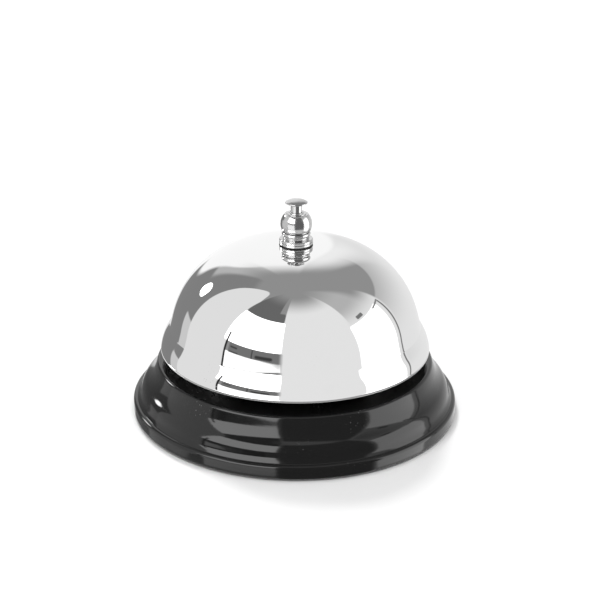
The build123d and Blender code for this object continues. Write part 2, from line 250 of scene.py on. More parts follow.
def grid_faces(rows, columns, closed):
    """Quads between neighbouring rows and columns; columns join up, and rows too when closed."""
    i, j = np.meshgrid(np.arange(rows if closed else rows - 1), np.arange(columns), indexing="ij")
    up, beyond = (i + 1) % rows * columns, (j + 1) % columns
    quads = np.stack([i * columns + j, i * columns + beyond, up + beyond, up + j], axis=-1)
    return quads.reshape(-1, 4).tolist()


def end_fans(rows, columns):
    """Triangles from two extra points, numbered after the grid, to its first and last rows."""
    around = np.arange(columns)
    ahead = (around + 1) % columns
    last_row = (rows - 1) * columns
    first = np.stack([np.full(columns, rows * columns), ahead, around], axis=-1)
    last = np.stack([last_row + around, last_row + ahead,
                     np.full(columns, rows * columns + 1)], axis=-1)
    return first.tolist() + last.tolist()


def counterclockwise(outline):
    """The outline in the direction that has its inside on the left, and whether it was turned."""
    r, z = outline.T
    turned = float(np.sum(r * np.roll(z, -1) - np.roll(r, -1) * z)) < 0
    return (outline[::-1] if turned else outline), turned


def revolved(outline, segments, ripple=0.0):
    """Solid of revolution of a closed outline.

    Point (i, j) is ((r + ripple) cos t, (r + ripple) sin t, z) with r, z from outline point i
    and t the j-th of even steps round the circle. Both ways close on themselves.
    """
    turn = np.arange(segments) * (2 * math.pi / segments)
    radius = outline[:, :1] + ripple + np.zeros(segments)
    height = outline[:, 1:] + np.zeros(segments)
    points = np.stack([radius * np.cos(turn), radius * np.sin(turn), height], axis=-1)
    return points.reshape(-1, 3), grid_faces(len(outline), segments, closed=True)


def domed(outline, segments):
    """Solid of revolution of an outline that starts and ends on the axis, closed at both poles.

    Point (i, j) is (r cos t, r sin t, z); each end point is one vertex with a fan round it.
    """
    rows = len(outline) - 2
    turn = np.arange(segments) * (2 * math.pi / segments)
    radius, height = outline[1:-1, :1], outline[1:-1, 1:] + np.zeros(segments)
    points = np.stack([radius * np.cos(turn), radius * np.sin(turn), height], axis=-1)
    poles = np.array([[0, 0, outline[0, 1]], [0, 0, outline[-1, 1]]])
    faces = grid_faces(rows, segments, closed=False) + end_fans(rows, segments)
    return np.vstack([points.reshape(-1, 3), poles]), faces


def wire(path, side, radius, sides):
    """Round wire along a path: path + radius * (cos a * side + sin a * across), capped at both ends.

    across is the path's direction crossed with side; each cap is a fan round the path's end.
    """
    along = np.gradient(path, axis=0)
    along /= np.linalg.norm(along, axis=1)[:, None]
    across = np.cross(along, side)
    angle = np.arange(sides) * (2 * math.pi / sides)
    rings = path[:, None] + radius * (
        np.cos(angle)[:, None] * side[:, None] + np.sin(angle)[:, None] * across[:, None])
    rows = len(path)
    points = np.vstack([rings.reshape(-1, 3), path[:1], path[-1:]])
    return points, grid_faces(rows, sides, closed=False) + end_fans(rows, sides)


def add_piece(name, points, faces, body, nodes, material, masks=None):
    """Makes a mesh object from millimetre points, lets it ride on its body and stand for its nodes."""
    mesh = bpy.data.meshes.new(name)
    mesh.from_pydata((np.asarray(points) * MM).tolist(), [], faces)
    mesh.update()
    mesh.shade_smooth()
    for label, values in (masks or {}).items():
        attribute = mesh.attributes.new(label, "FLOAT", "POINT")
        attribute.data.foreach_set("value", np.asarray(values, np.float32))
    mesh.materials.append(material)
    piece = bpy.data.objects.new(name, mesh)
    bpy.context.scene.collection.objects.link(piece)
    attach(piece, body)
    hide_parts(*nodes)
    return piece


# ---- Node helpers ----

class Board:
    """A node tree, with short ways to add and join its nodes."""

    def __init__(self, tree):
        self.tree = tree

    def add(self, kind, **settings):
        node = self.tree.nodes.new(kind)
        for key, value in settings.items():
            setattr(node, key, value)
        return node

    def feed(self, socket, value):
        if isinstance(value, bpy.types.NodeSocket):
            self.tree.links.new(value, socket)
        else:
            socket.default_value = value

    def maths(self, operation, *values, clamp=False):
        node = self.add("ShaderNodeMath", operation=operation, use_clamp=clamp)
        for socket, value in zip(node.inputs, values):
            self.feed(socket, value)
        return node.outputs[0]

    def plus(self, start, value, factor):
        """start + value * factor"""
        return self.maths("MULTIPLY_ADD", value, factor, start)

    def vectors(self, operation, *values):
        node = self.add("ShaderNodeVectorMath", operation=operation)
        for socket, value in zip(node.inputs, values):
            self.feed(socket, value)
        return node.outputs["Value" if operation in ("LENGTH", "DOT_PRODUCT") else "Vector"]

    def ranged(self, value, low, high, to_low=0.0, to_high=1.0, smooth=True):
        node = self.add("ShaderNodeMapRange",
                        interpolation_type="SMOOTHSTEP" if smooth else "LINEAR")
        for socket, given in zip(node.inputs, (value, low, high, to_low, to_high)):
            self.feed(socket, given)
        return node.outputs[0]

    def between(self, share, first, second):
        node = self.add("ShaderNodeMix", data_type="FLOAT")
        for socket, given in zip(node.inputs, (share, None, first, second)):
            if given is not None:
                self.feed(socket, given)
        return node.outputs[0]

    def tinted(self, share, first, second):
        node = self.add("ShaderNodeMix", data_type="RGBA")
        self.feed(node.inputs[0], share)
        self.feed(node.inputs[6], first)
        self.feed(node.inputs[7], second)
        return node.outputs[2]

    def noise(self, vector, scale, detail=2.0, roughness=0.5, distortion=0.0):
        node = self.add("ShaderNodeTexNoise")
        self.feed(node.inputs["Vector"], vector)
        self.feed(node.inputs["Scale"], scale)
        self.feed(node.inputs["Detail"], detail)
        self.feed(node.inputs["Roughness"], roughness)
        self.feed(node.inputs["Distortion"], distortion)
        return node.outputs[0]

    def place(self):
        return self.add("ShaderNodeTexCoord").outputs["Object"]

    def effect(self, build, **values):
        """Places a shared effect, whose node group is built the first time it is asked for."""
        name = build.__name__
        group = bpy.data.node_groups.get(name) or build(name)
        node = self.add("ShaderNodeGroup", node_tree=group)
        for key, value in values.items():
            self.feed(node.inputs[key], value)
        return node.outputs

    def bump(self, height, distance, strength=1.0):
        node = self.add("ShaderNodeBump")
        node.inputs["Strength"].default_value = strength
        node.inputs["Distance"].default_value = distance
        self.feed(node.inputs["Height"], height)
        return node.outputs[0]


def new_effect(name, inputs, outputs):
    """Empty shader node group with named inputs and outputs, its board, and its two ends."""
    group = bpy.data.node_groups.new(name, "ShaderNodeTree")
    for label, default in inputs.items():
        kind = "NodeSocketVector" if default is None else "NodeSocketFloat"
        socket = group.interface.new_socket(name=label, in_out="INPUT", socket_type=kind)
        if default is not None:
            socket.default_value = default
    for label in outputs:
        group.interface.new_socket(name=label, in_out="OUTPUT", socket_type="NodeSocketFloat")
    board = Board(group)
    return group, board, board.add("NodeGroupInput").outputs, board.add("NodeGroupOutput").inputs


def hand_marks(name):
    """Faint smudges: a cloudy noise, broken up by a finer one, kept where both are high."""
    group, board, given, out = new_effect(
        name, {"Vector": None, "Scale": 40.0, "Cover": 0.5}, ["Mask"])
    cloud = board.noise(given["Vector"], given["Scale"], 5.0, 0.6, 0.8)
    fine = board.noise(given["Vector"], board.maths("MULTIPLY", given["Scale"], 6.0), 3.0, 0.6)
    both = board.maths("MULTIPLY", cloud, board.maths("ADD", fine, 0.5))
    low = board.maths("SUBTRACT", 0.85, board.maths("MULTIPLY", given["Cover"], 0.6))
    board.feed(out["Mask"], board.ranged(both, low, board.maths("ADD", low, 0.3)))
    return group


def dust(name):
    """Sparse specks: small round cells, kept only where a broad noise lets dust settle."""
    group, board, given, out = new_effect(
        name, {"Vector": None, "Scale": 900.0, "Cover": 0.3}, ["Mask"])
    cells = board.add("ShaderNodeTexVoronoi", feature="F1")
    board.feed(cells.inputs["Vector"], given["Vector"])
    board.feed(cells.inputs["Scale"], given["Scale"])
    speck = board.ranged(cells.outputs["Distance"], 0.08, 0.2, 1.0, 0.0)
    area = board.noise(given["Vector"], 60.0, 3.0, 0.6)
    low = board.maths("SUBTRACT", 0.75, board.maths("MULTIPLY", given["Cover"], 0.5))
    area = board.ranged(area, low, board.maths("ADD", low, 0.15))
    board.feed(out["Mask"], board.maths("MULTIPLY", speck, area))
    return group


def edge_wear(name):
    """Bright edges: how far the normal, averaged over a radius, leans from the face's own."""
    group, board, given, out = new_effect(
        name, {"Vector": None, "Radius": 0.0003, "Amount": 1.0}, ["Mask"])
    average = board.add("ShaderNodeBevel", samples=6)
    board.feed(average.inputs["Radius"], given["Radius"])
    own = board.add("ShaderNodeNewGeometry").outputs["Normal"]
    lean = board.maths("SUBTRACT", 1.0, board.vectors("DOT_PRODUCT", average.outputs[0], own))
    broken = board.ranged(board.noise(given["Vector"], 700.0, 4.0, 0.6), 0.3, 0.7)
    worn = board.maths("MULTIPLY", board.ranged(lean, 0.02, 0.25), broken)
    board.feed(out["Mask"], board.maths("MULTIPLY", worn, given["Amount"], clamp=True))
    return group


def groove_shade(name):
    """Painted shade in grooves: how much of the near surroundings the piece itself hides, from ambient
    occlusion.
    """
    group, board, given, out = new_effect(name, {"Radius": 0.0006}, ["Mask"])
    # Painted shade: ambient occlusion of the piece's own surface marks where the grooves lie in shade.
    hidden = board.add("ShaderNodeAmbientOcclusion", samples=8, only_local=True)
    board.feed(hidden.inputs["Distance"], given["Radius"])
    board.feed(out["Mask"], board.ranged(hidden.outputs["AO"], 0.35, 0.85, 0.9, 0.0))
    return group


def turning_lines(name):
    """Fine lathe rings: a noise of height and radius only, so it is even round the axis."""
    group, board, given, out = new_effect(
        name, {"Vector": None, "Scale": 9000.0}, ["Height"])
    parts = board.add("ShaderNodeSeparateXYZ")
    board.feed(parts.inputs[0], given["Vector"])
    flat = board.add("ShaderNodeCombineXYZ")
    board.feed(flat.inputs[0], parts.outputs[0])
    board.feed(flat.inputs[1], parts.outputs[1])
    radius = board.vectors("LENGTH", flat.outputs[0])
    along = board.plus(parts.outputs[2], radius, 0.7)
    rings = board.add("ShaderNodeTexNoise", noise_dimensions="1D")
    board.feed(rings.inputs["W"], along)
    board.feed(rings.inputs["Scale"], given["Scale"])
    rings.inputs["Detail"].default_value = 3.0
    board.feed(out["Height"], rings.outputs[0])
    return group


def enamel_skin(name):
    """Slightly uneven stoved enamel: a broad flow and a finer orange peel, added together."""
    group, board, given, out = new_effect(
        name, {"Vector": None, "Scale": 160.0, "Peel": 0.35}, ["Height"])
    flow = board.noise(given["Vector"], given["Scale"], 1.0, 0.4)
    peel = board.noise(given["Vector"], board.maths("MULTIPLY", given["Scale"], 9.0), 2.0, 0.5)
    board.feed(out["Height"], board.plus(flow, peel, given["Peel"]))
    return group


def metal_grain(name):
    """Rolled and plated sheet: crystal cells of uneven tone over a streaked fine noise."""
    group, board, given, out = new_effect(
        name, {"Vector": None, "Scale": 420.0, "Streak": 6.0}, ["Tone", "Height"])
    cells = board.add("ShaderNodeTexVoronoi", feature="F1")
    board.feed(cells.inputs["Vector"], given["Vector"])
    board.feed(cells.inputs["Scale"], given["Scale"])
    tone = board.add("ShaderNodeSeparateXYZ")
    board.feed(tone.inputs[0], cells.outputs["Color"])
    stretch = board.add("ShaderNodeCombineXYZ")
    board.feed(stretch.inputs[0], given["Streak"])
    stretch.inputs[1].default_value = 1.0
    stretch.inputs[2].default_value = 1.0
    streaked = board.vectors("DIVIDE", given["Vector"], stretch.outputs[0])
    streaks = board.noise(streaked, 5200.0, 3.0, 0.6)
    mixed = board.maths("ADD", board.maths("MULTIPLY", tone.outputs[0], 0.5),
                        board.maths("MULTIPLY", streaks, 0.5))
    board.feed(out["Tone"], mixed)
    board.feed(out["Height"], streaks)
    return group


def pitted(name):
    """Moulded or pressed skin: fine rounded grain with a few larger dimples."""
    group, board, given, out = new_effect(
        name, {"Vector": None, "Scale": 1500.0}, ["Height"])
    fine = board.noise(given["Vector"], given["Scale"], 4.0, 0.65)
    large = board.noise(given["Vector"], board.maths("MULTIPLY", given["Scale"], 0.2), 2.0, 0.5)
    board.feed(out["Height"], board.plus(fine, large, 0.6))
    return group


# ---- Finishes ----

def finish(slot, paint):
    """The material for a slot, made the first time by paint(board, shader)."""
    name = slot + "_finish"
    material = bpy.data.materials.get(name)
    if material is None:
        material = bpy.data.materials.new(name)
        material.use_nodes = True
        material.node_tree.nodes.clear()
        board = Board(material.node_tree)
        shader = board.add("ShaderNodeBsdfPrincipled")
        ends = board.add("ShaderNodeOutputMaterial")
        board.feed(ends.inputs["Surface"], shader.outputs[0])
        paint(board, shader.inputs)
    return material


def grey(level, alpha=1.0):
    return (level, level, level, alpha)


def bell_chrome(board, shader):
    """Mirror plating outside; the inside of the bell is only half polished and darker."""
    place = board.place()
    inside = board.add("ShaderNodeAttribute", attribute_name="inside").outputs["Fac"]
    marks = board.effect(hand_marks, Vector=place, Scale=32.0, Cover=0.35)["Mask"]
    specks = board.effect(dust, Vector=place, Scale=1100.0, Cover=0.25)["Mask"]
    plating = tuple(bpy.context.scene.service_bell.chrome) + (1.0,)
    clean = board.tinted(board.maths("MULTIPLY", marks, 0.5), plating, grey(0.80))
    dulled = board.tinted(specks, clean, grey(0.62))
    board.feed(shader["Base Color"], board.tinted(inside, dulled, grey(0.5)))
    shader["Metallic"].default_value = 1.0
    polish = board.plus(0.018, marks, 0.03)
    polish = board.plus(polish, specks, 0.25)
    board.feed(shader["Roughness"], board.between(inside, polish, 0.3))
    skin = board.effect(enamel_skin, Vector=place, Scale=70.0, Peel=0.05)["Height"]
    board.feed(shader["Normal"], board.bump(skin, 0.000012))


def black_enamel(board, shader):
    """Deep gloss black, with flow in the enamel, faint marks and specks of dust."""
    place = board.place()
    inside = board.add("ShaderNodeAttribute", attribute_name="inside").outputs["Fac"]
    marks = board.effect(hand_marks, Vector=place, Scale=26.0, Cover=0.4)["Mask"]
    specks = board.effect(dust, Vector=place, Scale=1000.0, Cover=0.4)["Mask"]
    enamel = tuple(bpy.context.scene.service_base.enamel) + (1.0,)
    board.feed(shader["Base Color"], board.tinted(specks, enamel, grey(0.10)))
    gloss = board.plus(0.08, marks, 0.05)
    gloss = board.plus(gloss, specks, 0.3)
    board.feed(shader["Roughness"], board.between(inside, gloss, 0.42))
    shader["IOR"].default_value = 1.52
    skin = board.effect(enamel_skin, Vector=place, Scale=110.0, Peel=0.12)["Height"]
    board.feed(shader["Normal"], board.bump(skin, 0.00003))


def turned_chrome(board, shader):
    """Plated turned brass: lathe rings under the plating, and painted shade that darkens the grooves.
    """
    place = board.place()
    rings = board.effect(turning_lines, Vector=place, Scale=7000.0)["Height"]
    marks = board.effect(hand_marks, Vector=place, Scale=120.0, Cover=0.5)["Mask"]
    groove_shade_mask = board.effect(groove_shade, Radius=0.0007)["Mask"]
    plating = board.tinted(marks, grey(0.6), grey(0.48))
    # Painted shade: the base colour goes to dark grey in the grooves, where ambient occlusion is
    # strong.
    board.feed(shader["Base Color"], board.tinted(groove_shade_mask, plating, grey(0.16)))
    shader["Metallic"].default_value = 1.0
    polish = board.plus(0.13, marks, 0.08)
    board.feed(shader["Roughness"], board.plus(polish, rings, 0.05))
    board.feed(shader["Normal"], board.bump(rings, 0.000006))


def zinc_steel(board, shader):
    """Zinc plated strip: crystal tone, rolled streaks and rubbed edges."""
    place = board.place()
    grain = board.effect(metal_grain, Vector=place, Scale=420.0, Streak=6.0)
    worn = board.effect(edge_wear, Vector=place, Radius=0.00025, Amount=0.8)["Mask"]
    tone = board.tinted(grain["Tone"], (0.44, 0.45, 0.47, 1.0), (0.66, 0.67, 0.69, 1.0))
    board.feed(shader["Base Color"], board.tinted(worn, tone, grey(0.78)))
    shader["Metallic"].default_value = 1.0
    rough = board.plus(0.26, grain["Tone"], 0.16)
    board.feed(shader["Roughness"], board.between(worn, rough, 0.18))
    board.feed(shader["Normal"], board.bump(grain["Height"], 0.000008))


def spring_steel(board, shader):
    """Oiled drawn spring steel, darker than the plated parts."""
    place = board.place()
    grain = board.effect(metal_grain, Vector=place, Scale=900.0, Streak=2.0)
    tone = board.tinted(grain["Tone"], (0.16, 0.16, 0.17, 1.0), (0.34, 0.34, 0.36, 1.0))
    board.feed(shader["Base Color"], tone)
    shader["Metallic"].default_value = 1.0
    board.feed(shader["Roughness"], board.plus(0.22, grain["Tone"], 0.2))
    board.feed(shader["Normal"], board.bump(grain["Height"], 0.000004))


def moulded(dark, light, rough, scale, depth, sheen=0.0):
    """Paint function for a plain moulded or painted stuff, with dust in its grain."""
    def paint(board, shader):
        place = board.place()
        skin = board.effect(pitted, Vector=place, Scale=scale)["Height"]
        specks = board.effect(dust, Vector=place, Scale=1300.0, Cover=0.5)["Mask"]
        tone = board.tinted(board.ranged(skin, 0.5, 1.1), grey(dark), grey(light))
        board.feed(shader["Base Color"], board.tinted(specks, tone, grey(min(0.9, light + 0.12))))
        board.feed(shader["Roughness"], board.plus(rough, skin, 0.12))
        shader["Sheen Weight"].default_value = sheen
        board.feed(shader["Normal"], board.bump(skin, depth))
    return paint


def finish_for(slot):
    """The finish that goes with a material slot of the record."""
    paints = {
        "bell_chrome": bell_chrome,
        "black_enamel": black_enamel,
        "turned_chrome": turned_chrome,
        "zinc_steel": zinc_steel,
        "spring_steel": spring_steel,
        "black_backing": moulded(0.012, 0.03, 0.42, 1200.0, 0.000015),
        "black_rubber": moulded(0.012, 0.028, 0.68, 1700.0, 0.00003, sheen=0.15),
        "black_fibre": moulded(0.015, 0.04, 0.8, 2600.0, 0.00003),
        "white_nylon": moulded(0.62, 0.74, 0.32, 1400.0, 0.000008),
    }
    return finish(slot, paints[slot])


def dress(slot, *nodes):
    """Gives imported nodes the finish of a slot, on their own material slots."""
    material = finish_for(slot)
    for node in nodes:
        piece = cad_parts[node]
        if not piece.material_slots:
            piece.data.materials.append(material)
        for holder in piece.material_slots:
            holder.material = material


# ---- Bell ----

CROWN_ARC = 250.0
SHOULDER_ARC = 25.1
WALL_DRAFT = 14.9
WALL_FOOT = np.array([32.59, 23.2])
BAND_TOP = np.array([34.78, 19.4])
STEP_BENDS = (1.2, 11.0)  # tight where the step begins, wide where the band swells
SEAT_RADIUS = 4.8
POST_HOLE = 2.6


def seat_height(crown_height):
    """Height of the flat seat in the crown, where the crown's arc has the seat's radius."""
    return crown_height - CROWN_ARC + math.sqrt(CROWN_ARC ** 2 - SEAT_RADIUS ** 2)


def bell_outline(sizes):
    """Seat, crown arc, shoulder arc tangent to it, sloped wall, step and swollen band, to the rim.

    The shoulder's centre is on a line beside the wall, at the distance from the crown's centre
    that makes the two arcs touch: it solves |start + t * up| = crown radius - shoulder radius.
    """
    draft = math.radians(WALL_DRAFT)
    out = np.array([math.cos(draft), math.sin(draft)])
    up = np.array([-math.sin(draft), math.cos(draft)])
    crown_centre = np.array([0.0, sizes.crown_height - CROWN_ARC])
    reach = CROWN_ARC - SHOULDER_ARC
    start = WALL_FOOT - out * SHOULDER_ARC - crown_centre
    along = start @ up
    rise = math.sqrt(along ** 2 - start @ start + reach ** 2) - along
    shoulder = crown_centre + start + up * rise
    lean = math.degrees(math.atan2(*(shoulder - crown_centre)[::-1]))
    seat = np.array([SEAT_RADIUS, seat_height(sizes.crown_height)])
    seat_lean = math.degrees(math.atan2(*(seat - crown_centre)[::-1]))
    wall_top = shoulder + out * SHOULDER_ARC
    rim = (sizes.rim_radius, sizes.rim_height)
    return np.vstack([
        [(POST_HOLE, seat[1]), (SEAT_RADIUS - 0.3, seat[1])],
        arc(crown_centre, CROWN_ARC, seat_lean, lean, 20),
        arc(shoulder, SHOULDER_ARC, lean, WALL_DRAFT, 64)[1:],
        rounded_line([wall_top, WALL_FOOT, BAND_TOP, rim], STEP_BENDS)[1:],
    ])


def add_pressed(name, line, sheet, edge, segments, node, slot):
    """Turns a sheet's outline round the axis, with the attribute "inside" set on its inner side."""
    outline, outer = pressed_section(line, sheet, edge)
    inside = (np.arange(len(outline)) > outer + LIP_POINTS).astype(float)
    outline, turned = counterclockwise(outline)
    inside = inside[::-1] if turned else inside
    points, faces = revolved(outline, segments)
    add_piece(name, points, faces, "base", [node], finish_for(slot),
              {"inside": np.repeat(inside, segments)})


class BELL_OT_dome(bpy.types.Operator):
    """Builds the pressed bell, outside and inside, with a rounded rim"""

    bl_idname = "service_bell.dome"
    bl_label = "Bell"

    def execute(self, context):
        sizes = context.scene.service_bell
        line = denser(bell_outline(sizes), 0.6)
        add_pressed("bell_shell", line, sizes.sheet, 0.25, sizes.segments, "bell_dome",
                    "bell_chrome")
        return {"FINISHED"}


# ---- Base ----

DECK_HOLE = 2.03
DECK_RADIUS = 35.85
WAVE_CORNERS = [(37.5, 9.55), (39.95, 7.3), (40.72, 4.85), (41.45, 3.92)]
BASE_BENDS = (1.0, 8.0, 5.0, 3.0, 0.4, 0.9)
FLANGE_TOP = 3.75
FLANGE_BOTTOM = 0.5


def base_outline(sizes):
    """Flat deck, wavy sloping wall, ledge and rim flange, from the middle outwards."""
    foot, deck = sizes.foot_radius, sizes.deck_height
    corners = [(DECK_HOLE, deck), (DECK_RADIUS, deck), *WAVE_CORNERS, (foot, FLANGE_TOP),
               (foot, FLANGE_BOTTOM)]
    return rounded_line(corners, BASE_BENDS)


class BELL_OT_base(bpy.types.Operator):
    """Builds the pressed and enamelled base pan"""

    bl_idname = "service_bell.base"
    bl_label = "Base"

    def execute(self, context):
        sizes = context.scene.service_base
        line = denser(base_outline(sizes), 1.0)
        add_pressed("base_shell", line, sizes.sheet, 0.2, sizes.segments, "base_pan",
                    "black_enamel")
        return {"FINISHED"}


# ---- Turned parts ----

COLLAR_RADIUS = 4.31
COLLAR_TOP = 46.6
COLLAR_CHAMFER = 0.18
GROOVE_DEPTH = 0.12
GROOVE_HALF = 0.08
NECK_RADIUS = 3.23
NECK_TOP = 48.9
BEAD_CENTRE = (3.13, 47.9)
BEAD_RADIUS = 0.55
BALL_HEIGHT = 50.4
SHOULDER_RADIUS = 2.5     # small step on top of the ball
SHOULDER_HEIGHT = 0.22
LIP_RADIUS = 1.9
LIP_BOTTOM = 53.1
LIP_TOP = 53.55
LIP_CHAMFER = 0.12
ROD_RADIUS = 1.45
ROD_BORE = 1.5
CAVITY_RADIUS = 2.5
CAVITY_TOP = 52.5
POST_TOP = 47.5           # the spring's lower end and the cavity's floor
THREAD_RADIUS = 2.53
STOP_GROOVE_RADIUS = 1.15
STOP_GROOVE_TOP = 52.3
STOP_GROOVE_HEIGHT = 0.8
BUTTON_BOTTOM = 55.45
BUTTON_EDGE = (55.93, 56.17)
BUTTON_TOP = 56.95
BUTTON_UNDERSIDE = 1.85


def finial_outline(ball_radius):
    """Grooved collar, neck with a bead, ball, shoulder and lip, then the bore down to the thread."""
    bottom = bottom_of("finial_nut").z
    collar, notch = COLLAR_RADIUS, COLLAR_RADIUS - GROOVE_DEPTH
    groove = (bottom + COLLAR_TOP) / 2
    step = LIP_BOTTOM + SHOULDER_HEIGHT
    low = math.degrees(math.asin((NECK_TOP - BALL_HEIGHT) / ball_radius))
    high = math.degrees(math.asin((LIP_BOTTOM - BALL_HEIGHT) / ball_radius))
    return np.vstack([
        [(THREAD_RADIUS, bottom), (collar - COLLAR_CHAMFER, bottom),
         (collar, bottom + COLLAR_CHAMFER), (collar, groove - GROOVE_HALF),
         (notch, groove - GROOVE_HALF), (notch, groove + GROOVE_HALF),
         (collar, groove + GROOVE_HALF), (collar, COLLAR_TOP - COLLAR_CHAMFER),
         (collar - COLLAR_CHAMFER, COLLAR_TOP), (NECK_RADIUS, COLLAR_TOP)],
        arc(BEAD_CENTRE, BEAD_RADIUS, -79.5, 79.5, 24),
        [(NECK_RADIUS, NECK_TOP)],
        arc((0, BALL_HEIGHT), ball_radius, low, high, 60),
        [(SHOULDER_RADIUS, LIP_BOTTOM), (SHOULDER_RADIUS, step), (LIP_RADIUS, step),
         (LIP_RADIUS, LIP_TOP - LIP_CHAMFER), (LIP_RADIUS - LIP_CHAMFER, LIP_TOP),
         (ROD_BORE, LIP_TOP), (ROD_BORE, CAVITY_TOP), (CAVITY_RADIUS, CAVITY_TOP),
         (CAVITY_RADIUS, POST_TOP), (THREAD_RADIUS, POST_TOP)],
    ])


class BELL_OT_finial(bpy.types.Operator):
    """Builds the turned finial nut that clamps the bell"""

    bl_idname = "service_bell.finial"
    bl_label = "Finial"

    def execute(self, context):
        sizes = context.scene.service_finial
        outline = softened(finial_outline(sizes.ball_radius), 0.06, sizes.corner, True)
        outline, _ = counterclockwise(outline)
        points, faces = revolved(outline, sizes.segments)
        add_piece("finial", points, faces, "base", ["finial_nut"],
                  finish_for("turned_chrome"))
        return {"FINISHED"}


class BELL_OT_plunger(bpy.types.Operator):
    """Builds the push button and its rod"""

    bl_idname = "service_bell.plunger"
    bl_label = "Button and rod"

    def execute(self, context):
        sizes = context.scene.service_finial
        button = sizes.button_radius
        rise = BUTTON_TOP - BUTTON_EDGE[1]
        top_arc = (button ** 2 + rise ** 2) / (2 * rise)
        spread = math.degrees(math.asin(button / top_arc))
        head = np.vstack([
            [(0, BUTTON_BOTTOM), (BUTTON_UNDERSIDE, BUTTON_BOTTOM), (button, BUTTON_EDGE[0])],
            arc((0, BUTTON_TOP - top_arc), top_arc, 90 - spread, 90, 40),
        ])
        head = softened(head, 0.05, sizes.corner, False)
        points, faces = domed(head, sizes.segments)
        material = finish_for("turned_chrome")
        add_piece("button_cap", points, faces, "plunger", ["press_button"], material)
        low, high = bottom_of("plunger_rod").z, top_of("plunger_rod").z
        groove_bottom = STOP_GROOVE_TOP - STOP_GROOVE_HEIGHT
        stem = np.array([
            (0, low), (ROD_RADIUS, low), (ROD_RADIUS, groove_bottom),
            (STOP_GROOVE_RADIUS, groove_bottom), (STOP_GROOVE_RADIUS, STOP_GROOVE_TOP),
            (ROD_RADIUS, STOP_GROOVE_TOP), (ROD_RADIUS, high), (0, high)])
        stem = softened(stem, 0.1, 0.05, False)
        points, faces = domed(stem, 64)
        add_piece("push_rod", points, faces, "plunger", ["plunger_rod"], material)
        return {"FINISHED"}


class BELL_OT_post(bpy.types.Operator):
    """Builds the threaded post that carries the bell"""

    bl_idname = "service_bell.post"
    bl_label = "Threaded post"

    def execute(self, context):
        low, high = bottom_of("bell_post").z, top_of("bell_post").z
        outer, bore, pitch, depth, chamfer, segments = 2.5, 1.5, 0.5, 0.26, 0.35, 64
        rise = np.arange(low, high, pitch / 10)
        outline = np.vstack([
            np.column_stack([np.full(len(rise), outer), rise]),
            [(outer, high), (outer - chamfer, high), (bore, high)],
            [(bore, low), (outer - chamfer, low)],
        ])
        # The wall's radius dips by depth along a ridge line that climbs one pitch a turn, and
        # by more within one pitch of each end.
        turn = np.arange(segments) / segments
        phase = (rise[:, None] / pitch - turn) % 1.0
        dip = depth * np.abs(2 * phase - 1) ** 1.2
        ends = np.clip(1 - np.minimum(rise - low, high - rise) / pitch, 0, 1)[:, None]
        dip = np.maximum(dip, ends * chamfer)
        ripple = np.zeros((len(outline), segments))
        ripple[:len(rise)] = -dip
        ripple[len(rise)] = -chamfer
        points, faces = revolved(outline, segments, ripple)
        add_piece("threaded_post", points, faces, "base", ["bell_post"],
                  finish_for("zinc_steel"))
        return {"FINISHED"}


class BELL_OT_spring(bpy.types.Operator):
    """Builds the return spring at the imported spring's length; nothing here shortens it as the button
    goes down
    """

    bl_idname = "service_bell.spring"
    bl_label = "Return spring"

    def execute(self, context):
        low, high = bottom_of("return_spring").z, top_of("return_spring").z
        wire_radius, mean_radius, turns = 0.16, 1.93, 5.5
        t = np.linspace(0, 1, 420)
        # Height follows the turns slowly in the closed coils at both ends, evenly between.
        climb = np.interp(t, [0, 0.16, 0.84, 1], [0, 0.085, 0.915, 1])
        angle = 2 * math.pi * turns * t
        side = np.column_stack([-np.cos(angle), -np.sin(angle), np.zeros_like(t)])
        height = low + wire_radius + climb * (high - low - 2 * wire_radius)
        path = np.column_stack([mean_radius * np.cos(angle), mean_radius * np.sin(angle), height])
        points, faces = wire(path, side, wire_radius, 14)
        spring = add_piece("coil_spring", points, faces, "base", ["return_spring"],
                           finish_for("spring_steel"))
        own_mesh(spring)
        return {"FINISHED"}


class BELL_OT_fixings(bpy.types.Operator):
    """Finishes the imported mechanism, fixings and underside"""

    bl_idname = "service_bell.fixings"
    bl_label = "Mechanism and fixings"

    def execute(self, context):
        dress("zinc_steel", "striker_bracket", "bracket_rivets", "pivot_pin", "hex_nuts",
              "striker_lever", "striker_sleeve", "striker_hammer", "hammer_rivet",
              "base_standoff", "bottom_screw")
        dress("spring_steel", "pivot_clips", "lock_washer", "stop_ring")
        dress("black_fibre", "upper_washer", "lower_washer")
        dress("black_backing", "bottom_plate")
        dress("black_rubber", "rubber_feet")
        dress("white_nylon", "plunger_tip")
        return {"FINISHED"}


# ---- Stage ----

